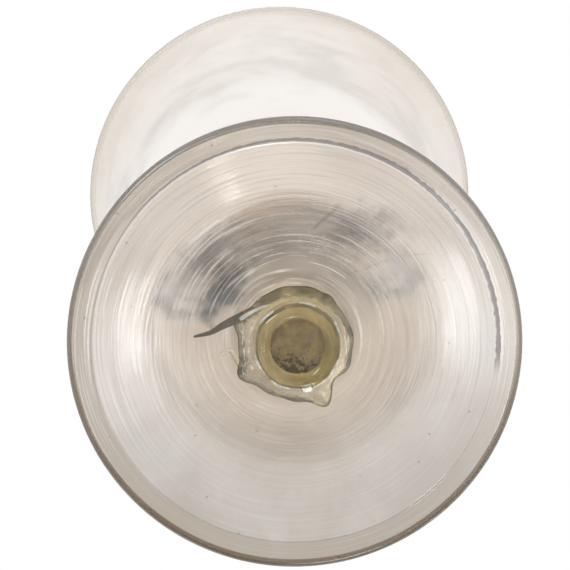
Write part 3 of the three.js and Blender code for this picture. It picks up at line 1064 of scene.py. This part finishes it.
# %% [markdown]
# ## The wings
# Each wing is a rod bent into a bow whose ends curl into volutes. It is stuck to the loop's two lobes. The
# rod's path could be drawn point by point, but here it is walked: each stretch turns by some degrees on a
# radius that may shrink as it goes, which keeps the volutes smooth and easy to change.

# %% Scroll
scroll_radius = 0.0018
scroll_tip_radius = 0.0012
bow_radius = 0.030
bow_angle = 33
volute_radius = 0.0054
volute_tip_radius = 0.0014
volute_angle = 360
wing_sink = 0.0012


def walk(stretches):
    """Points of a path in a plane. Each stretch is (degrees turned, first radius, last radius, steps)."""
    path = [Vector((0, 0))]
    heading = math.pi / 2
    for turned, first, last, steps in stretches:
        step = math.radians(turned) / steps
        for i in range(steps):
            radius = first + (last - first) * (i + 0.5) / steps
            heading += step / 2
            chord = 2 * radius * math.sin(abs(step) / 2)
            path.append(path[-1] + Vector((math.cos(heading), math.sin(heading))) * chord)
            heading += step / 2
    return path


half_scroll = walk([(bow_angle, bow_radius, bow_radius, 16),
                    (-volute_angle, volute_radius, volute_tip_radius, 90)])
scroll_line = [Vector((p.x, -p.y)) for p in reversed(half_scroll[1:])] + half_scroll
innermost = min(half_scroll, key=lambda p: p.x)
wing_tilt = math.atan2(upper_reach - lower_reach, 2 * innermost.y)
lobe_side = (upper_reach + lower_reach) / 2 + rod_radius
wing_place = Matrix.Translation((lobe_side + scroll_radius - wing_sink - innermost.x, 0, waist))
wing_place = wing_place @ Matrix.Rotation(wing_tilt, 4, "Y")


def scroll_section(share, angle):
    return scroll_radius + (scroll_tip_radius - scroll_radius) * abs(2 * share - 1) ** 3


print("points along the scroll:", len(scroll_line), "tilt:", round(math.degrees(wing_tilt), 2))


# %% [markdown]
# ## The crests
# A strip of glass is laid along the back of each scroll and pinched with ridged jaws into a comb. Teeth set
# on one by one would look like beads. So the comb's outline is drawn as one face and thickened, and then it
# is melted onto the scroll. The left wing is the right one turned half round.

# %% Crest
crest_teeth = 9
crest_angle = math.radians(27)
tooth_length = 0.0042
end_tooth_length = 0.0017
crest_web = 0.0015
crest_thickness = 0.0022


def crest():
    """The comb: a fan-shaped face with rounded teeth, thickened."""
    mesh = bmesh.new()
    per_tooth = 16
    count = crest_teeth * per_tooth
    root = bow_radius + scroll_radius * 0.4
    outline = []
    for i in range(count + 1):
        angle = -crest_angle + 2 * crest_angle * i / count
        length = tooth_length + (end_tooth_length - tooth_length) * (angle / crest_angle) ** 2
        lobe = abs(math.sin(math.pi * i / per_tooth)) ** 0.8
        reach = bow_radius + scroll_radius + crest_web + length * lobe
        outline.append((reach * math.cos(angle) - bow_radius, 0, reach * math.sin(angle)))
    for i in range(count, -1, -1):
        angle = -crest_angle + 2 * crest_angle * i / count
        outline.append((root * math.cos(angle) - bow_radius, 0, root * math.sin(angle)))
    face = mesh.faces.new([mesh.verts.new(p) for p in outline])
    made = bmesh.ops.extrude_face_region(mesh, geom=[face])["geom"]
    moved = [v for v in made if isinstance(v, bmesh.types.BMVert)]
    bmesh.ops.translate(mesh, verts=moved, vec=(0, crest_thickness, 0))
    bmesh.ops.translate(mesh, verts=mesh.verts, vec=(0, -crest_thickness / 2, 0))
    bmesh.ops.recalc_face_normals(mesh, faces=mesh.faces)
    return mesh


print("teeth on a crest:", crest_teeth)


# %% Wings
scroll_path = [Vector((p.x, 0, p.y)) for p in scroll_line]
wing = melt([sweep(scroll_path, 20, scroll_section), crest()], voxel=0.00028, smoothing=4)
bmesh.ops.transform(wing, matrix=wing_place, verts=wing.verts)
left_wing = half_turned(wing)
finish_piece(wing, "wing_right", wing_glass, "wing_glass", "wing_scroll_right", "wing_crest_right")
finish_piece(left_wing, "wing_left", wing_glass, "wing_glass", "wing_scroll_left", "wing_crest_left")


# %% [markdown]
# ## The bowl
# The bowl is a round funnel, blown thin and slightly flared. A Solidify modifier could give it a wall, but
# the bottom is thicker than the side and the rim is fire-polished round. So it is turned from an outside
# line and an inside line, with a half round between them.

# %% Bowl
bowl_radius, bowl_base, bowl_top = size_of("bowl")
bowl_wall = 0.0015
rim_thickness = 0.0019
bowl_bottom = 0.0045
# The outer line, as shares of the bowl's radius and height
outside_shape = [(0.3, 0.015), (0.52, 0.09), (0.68, 0.22), (0.77, 0.4), (0.84, 0.62), (0.92, 0.84), (1, 1)]


def bowl_profile():
    height = bowl_top - bowl_base
    outside = flow([(bowl_radius * r, bowl_base + height * h) for r, h in outside_shape], steps=10)
    inside = []
    for i, (radius, level) in enumerate(outside[:-3]):
        before, after = outside[max(i - 1, 0)], outside[i + 1]
        along = (Vector(after) - Vector(before)).normalized()
        share = min(1, i / len(outside) * 3)
        wall = bowl_bottom * 0.75 * (1 - share) + bowl_wall * share
        inside.append((radius - along.y * wall, level + along.x * wall))
    half = rim_thickness / 2
    angles = [math.pi * i / 10 for i in range(11)]
    rim = [(bowl_radius - half + half * math.cos(angle), bowl_top - half + half * math.sin(angle))
           for angle in angles]
    seat = [(0, bowl_base - joint), (seat_radius, bowl_base - joint),
            (seat_radius + 0.0025, bowl_base + 0.0004)]
    return seat + outside[:-2] + rim + inside[::-1] + [(0, bowl_base + bowl_bottom)]


finish_piece(turn(bowl_profile(), sides=192), "bowl_funnel", bowl_glass, "bowl_glass", "bowl")


# %% [markdown]
# ## The pontil scar
# The iron held the foot by a wad of other glass. When the goblet was knocked off it left this ragged
# collar, a raised ring and a sunken, gritty disc. It could be sculpted, but then nothing in it could be
# changed by a number. It is turned first, so that each zone is a set of rings and takes its own glass, and
# then it is pulled out of round.

# %% Shape of the scar
scar_centre = Vector((0.0005, 0.0016))
scar_radius = 0.0109
scar_thickness = 0.0007
ring_radius = 0.0083
ring_height = 0.0021
well_radius = 0.0054
# Each lobe, seen from below: its angle in degrees, its reach in metres and its width in degrees
scar_lobes = [(150, 0.0028, 12), (202, 0.0021, 12), (180, 0.0007, 12), (290, 0.0024, 11),
              (312, -0.0010, 14), (90, 0.0011, 32), (125, 0.0007, 12), (50, 0.0007, 8)]
# Painted highlights, white crescents along the groove: first and last angle in degrees, and width in metres
groove_highlights = [(112, 150, 0.0004), (56, 86, 0.0005), (6, 34, 0.00035), (306, 344, 0.00035),
               (176, 214, 0.0004), (222, 258, 0.0006)]


def scar_reach(angle):
    """How far the ragged collar reaches from the scar's centre at an angle."""
    degrees = math.degrees(angle) % 360
    reach = scar_radius + 0.00012 * math.sin(7 * angle) + 0.0001 * math.sin(11 * angle + 1)
    for towards, pull, width in scar_lobes:
        away = abs(degrees - towards)
        reach += pull * math.exp(-(min(away, 360 - away) / width) ** 2)
    return reach


print("reach of the first lobe:", round(scar_reach(math.radians(scar_lobes[0][0])), 4))


# %% Profile of the scar
def scar_profile():
    """Collar edge, groove, raised ring and sunken disc, as (radius, height over the foot's underside)."""
    groove = scar_thickness * 0.5
    edge = flow([(scar_radius, 0.0), (scar_radius - 0.0001, -scar_thickness * 0.45),
                 (scar_radius - 0.0005, -scar_thickness * 0.85), (scar_radius - 0.0011, -scar_thickness),
                 (ring_radius + 0.0009, -scar_thickness * 0.85), (ring_radius + 0.0004, -groove)],
                steps=6)
    middle = (ring_radius + well_radius) / 2
    half = (ring_radius - well_radius) / 2
    ring_steps = 18
    ring = []
    for i in range(ring_steps + 1):
        angle = math.pi * i / ring_steps
        depth = groove + (ring_height - groove) * math.sin(angle) ** 0.8
        ring.append((middle + half * math.cos(angle), -depth))
    disc = [(well_radius * k / 6, -scar_thickness * (1.1 - 0.25 * (1 - k / 6))) for k in range(5, -1, -1)]
    return [(0, 0.0001), (scar_radius, 0.0001)] + edge + ring + disc


scar_mesh = turn(scar_profile(), sides=240)
print("scar faces:", len(scar_mesh.faces))


# %% Glasses of the scar
# In the order of the material slots, and then the glass of each zone from the centre out
scar_glasses = [collar_glass, ring_glass, grit_glass, outline_shade_glass, groove_glass, groove_highlight_glass]
scar_zones = [grit_glass, ring_glass, outline_shade_glass, groove_glass, collar_glass, outline_shade_glass]
zone_limits = [well_radius, ring_radius - 0.0005, ring_radius, ring_radius + 0.0007, scar_radius - 0.0002]


def give_scar_glasses(mesh):
    """Gives each face of the underside its zone's glass, or the painted highlight where one lies along the
    groove.
    """
    for face in mesh.faces:
        middle = face.calc_center_median()
        away = math.hypot(middle.x, middle.y)
        if middle.z < 0:
            zone = scar_zones[sum(away > limit for limit in zone_limits)]
            face.material_index = scar_glasses.index(zone)
            degrees = math.degrees(math.atan2(middle.y, middle.x)) % 360
            for first, last, width in groove_highlights:
                swelling = math.sin(math.pi * share_between(degrees, first, last))
                if 0.00005 < away - ring_radius < width * swelling:
                    face.material_index = scar_glasses.index(groove_highlight_glass)


give_scar_glasses(scar_mesh)
print("zones:", len(scar_zones))


# %% Pontil scar
def pull_out_of_round(mesh):
    """Moves the turned scar to its place under the foot and pulls its collar into ragged lobes."""
    for corner in mesh.verts:
        radius = math.hypot(corner.co.x, corner.co.y)
        angle = math.atan2(corner.co.y, corner.co.x)
        pulled = share_between(radius, ring_radius + 0.0006, scar_radius)
        wobble = 0.035 * noise.noise(Vector((math.cos(angle), math.sin(angle), 2.0)) * 1.6) * (1 - pulled)
        target = (radius + (scar_reach(angle) - scar_radius) * pulled) * (1 + wobble)
        x = scar_centre.x + target * math.cos(angle)
        y = scar_centre.y - target * math.sin(angle)
        away = math.hypot(x, y)
        lumps = noise.noise(Vector((x, y, 0)) * 450) * 0.00012 * share_between(-corner.co.z, 0, 0.0004)
        corner.co = Vector((x, y, corner.co.z + underside(away) + lumps))
    bmesh.ops.recalc_face_normals(mesh, faces=mesh.faces)


pull_out_of_round(scar_mesh)
scar = finish_piece(scar_mesh, "pontil_mark", collar_glass, "pontil_glass", "pontil_scar")
for extra in scar_glasses[1:]:
    scar.data.materials.append(extra)


# %% [markdown]
# ## Threads and chip
# As the iron was pulled away, soft glass of the wad drew out into a long tail and a short hook, and a
# whitish thread painted as a highlight lies in the groove beside them. They could be curves, but a swept
# section can taper and lie flat against the foot.
# A flake has broken off the collar too. Of that break only the bright facet shows, so it alone is made, from
# a short cone.

# %% Threads of the wad
def thread(name, material, spots, steps, widest, flatness, tip, depth=0.00012):
    """A drawn-out thread that tapers along its spots, its middle at a depth below the foot's underside."""
    line = [Vector(p) for p in flow(spots, steps)]

    def section(share, angle):
        wide = widest * (tip + (1 - tip) * (1 - share) ** 0.7 * min(1, share * 9 + 0.5))
        thin = wide * flatness
        return wide * thin / math.hypot(thin * math.cos(angle), wide * math.sin(angle))

    path = [Vector((p.x, p.y, underside(p.length) - depth)) for p in line]
    mesh = sweep(path, 20, section, Vector((0, 0, 1)))
    finish_piece(mesh, name, material, "pontil_glass")


tail_spots = [(-0.0092, -0.0054), (-0.0121, -0.0044), (-0.0141, -0.0037), (-0.0161, -0.0029),
              (-0.0194, -0.0026)]
hook_spots = [(-0.0108, 0.0046), (-0.0117, 0.0028), (-0.0122, 0.0016), (-0.0132, 0.0011),
              (-0.0144, 0.0017)]
glint_spots = [(-0.0101, -0.0048), (-0.0086, -0.0056), (-0.0069, -0.0063), (-0.0051, -0.0069),
               (-0.0037, -0.0071)]
thread("pontil_tail", tail_shade_glass, tail_spots, 10, widest=0.00098, flatness=0.42, tip=0.17)
thread("pontil_hook", collar_glass, hook_spots, 8, widest=0.0006, flatness=0.6, tip=0.75)
# A whitish thread of painted highlight along the groove, lower than the others, at the wad's face
thread("pontil_glint", groove_highlight_glass, glint_spots, 8, widest=0.00042, flatness=0.5, tip=0.2, depth=0.00062)


# %% Broken chip
chip_spot = Vector((0.00145, 0.0099))
chip_depth = 0.00072
chip_facing = Vector((0.053, 0.522, -0.851))
chip_radius = 0.00105
chip_back_radius = 0.00135
chip_thickness = 0.0007


def chip():
    """A small flat facet where a flake has broken off the collar, leaning outwards."""
    mesh = bmesh.new()
    bmesh.ops.create_cone(mesh, cap_ends=True, segments=28, radius1=chip_radius, radius2=chip_back_radius,
                          depth=chip_thickness)
    cap = min(mesh.faces, key=lambda face: face.calc_center_median().z)
    bmesh.ops.inset_region(mesh, faces=[cap], thickness=0.00006)
    lean = Vector((0, 0, -1)).rotation_difference(chip_facing).to_matrix()
    bmesh.ops.rotate(mesh, verts=mesh.verts, cent=(0, 0, 0), matrix=lean)
    height = underside(chip_spot.length) - chip_depth
    bmesh.ops.translate(mesh, verts=mesh.verts, vec=(chip_spot.x, chip_spot.y, height))
    return mesh


finish_piece(chip(), "pontil_chip", chip_glass, "pontil_glass")


# %% [markdown]
# ## Floor and light
# The goblet stands on a plain pale floor. The photograph looks up from below the floor's level, so the
# floor is only there for eyes above it: once a ray has come up through its back, it stays clear. The
# world is white to the camera. Through the glass it darkens softly towards the ground, as a studio does,
# and that is what draws the outlines of clear glass.

# %% Floor
def make_floor():
    mesh = bmesh.new()
    bmesh.ops.create_grid(mesh, x_segments=8, y_segments=8, size=3.0)
    data = bpy.data.meshes.new("floor")
    mesh.to_mesh(data)
    mesh.free()
    floor = bpy.data.objects.new("floor", data)
    floor.location.z = -0.0003
    bpy.context.scene.collection.objects.link(floor)
    material = bpy.data.materials.new("pale floor")
    material.use_nodes = True
    tree = material.node_tree
    tree.nodes.clear()
    pale = add_node(tree, "BsdfPrincipled", {"Base Color": (0.86, 0.86, 0.86, 1), "Roughness": 0.6,
                                             "Specular IOR Level": 0.2})
    clear = add_node(tree, "BsdfTransparent")
    behind = add_node(tree, "NewGeometry").outputs["Backfacing"]
    passed = calc("GREATER_THAN", add_node(tree, "LightPath").outputs["Transparent Depth"], 0.5)
    hidden = calc("MAXIMUM", behind, passed)
    both = add_node(tree, "MixShader", {0: hidden, 1: pale.outputs[0], 2: clear.outputs[0]})
    add_node(tree, "OutputMaterial", {"Surface": both.outputs[0]})
    data.materials.append(material)
    return floor


floor = make_floor()
print("floor:", floor.name)


# %% World
zenith = 1.0
horizon = 0.78
nadir = 0.50
diffuse_level = 0.8

world = bpy.data.worlds.new("studio")
bpy.context.scene.world = world
world.use_nodes = True
sky = world.node_tree
sky.nodes.clear()
direction = add_node(sky, "TexCoord").outputs["Generated"]
height = add_node(sky, "SeparateXYZ", {0: direction}).outputs[2]
above = ramp(height, 0.0, 0.9, horizon, zenith)
below = ramp(height, -0.9, 0.0, nadir, horizon)
is_above = calc("GREATER_THAN", height, 0.0)
level = add_node(sky, "Mix", {0: is_above, 2: below, 3: above}, data_type="FLOAT").outputs[0]
path = add_node(sky, "LightPath").outputs
seen_in_glass = calc("MAXIMUM", path["Is Glossy Ray"], path["Is Transmission Ray"])
level = add_node(sky, "Mix", {0: seen_in_glass, 2: diffuse_level, 3: level}, data_type="FLOAT").outputs[0]
level = add_node(sky, "Mix", {0: path["Is Camera Ray"], 2: level, 3: 1.0}, data_type="FLOAT").outputs[0]
backdrop = add_node(sky, "Background", {"Color": (1, 1, 1, 1), "Strength": level})
add_node(sky, "OutputWorld", {"Surface": backdrop.outputs[0]})
print("world:", world.name)


# %% Lamps
def softbox(name, place, towards, width, depth, power):
    """A rectangular lamp aimed at a point, itself unseen by the camera and through the glass."""
    lamp = bpy.data.lights.new(name, "AREA")
    lamp.shape = "RECTANGLE"
    lamp.size = width
    lamp.size_y = depth
    lamp.energy = power
    thing = bpy.data.objects.new(name, lamp)
    thing.location = place
    thing.rotation_euler = (Vector(towards) - Vector(place)).to_track_quat("-Z", "Y").to_euler()
    thing.visible_camera = False
    thing.visible_transmission = False
    bpy.context.scene.collection.objects.link(thing)


softbox("left_box", (-0.315, 0.19, -1.0), (0, 0, 0), 0.20, 0.17, 0.60)
softbox("right_box", (0.325, 0.235, -1.0), (0, 0, 0), 0.20, 0.12, 0.55)
softbox("near_box", (0.12, 1.42, -0.46), (0, 0, 0), 0.42, 0.34, 5.5)
softbox("far_box", (-0.95, -1.1, -0.45), (0, 0, 0), 0.42, 0.34, 6.0)
softbox("top_box", (-0.9, 1.2, 0.75), (0, 0, 0.1), 0.9, 0.9, 3.0)
print("lamps:", len(bpy.data.lights))


# %% Render settings
scene = bpy.context.scene
scene.view_settings.view_transform = "Standard"
scene.cycles.max_bounces = 24
scene.cycles.transmission_bounces = 24
scene.cycles.glossy_bounces = 12
scene.cycles.transparent_max_bounces = 24
print("view transform:", scene.view_settings.view_transform)
